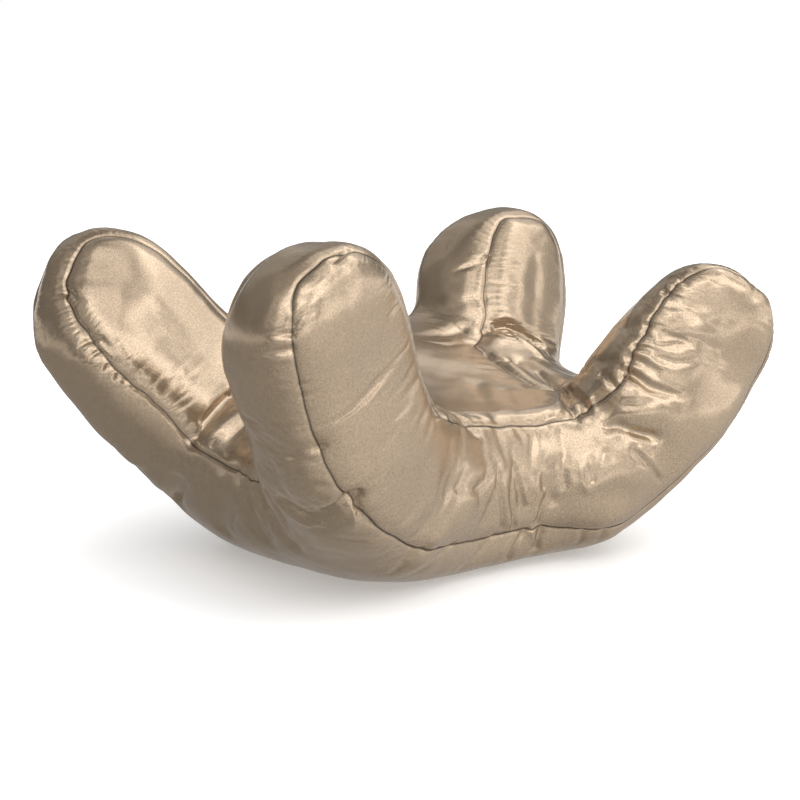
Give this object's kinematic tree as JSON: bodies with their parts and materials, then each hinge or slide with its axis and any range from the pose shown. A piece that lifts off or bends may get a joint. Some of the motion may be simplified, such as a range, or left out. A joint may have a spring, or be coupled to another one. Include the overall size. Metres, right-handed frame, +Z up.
{
  "type": "face pillow",
  "caption": "Stuffed satin face pillow: a low padded body for the head, with plump arms standing at its corners and open gaps between them.",
  "frame": {"origin": "middle of the pillow's box in plan, on the surface its underside rests on", "axes": "+X along its length, +Y towards its rear long side, +Z up"},
  "size_m": [0.4336, 0.3054, 0.2216],
  "materials": {
    "satin": "champagne-coloured satin with a soft sheen"
  },
  "bodies": {
    "root": {"pillow": "satin"}
  },
  "joints": []
}
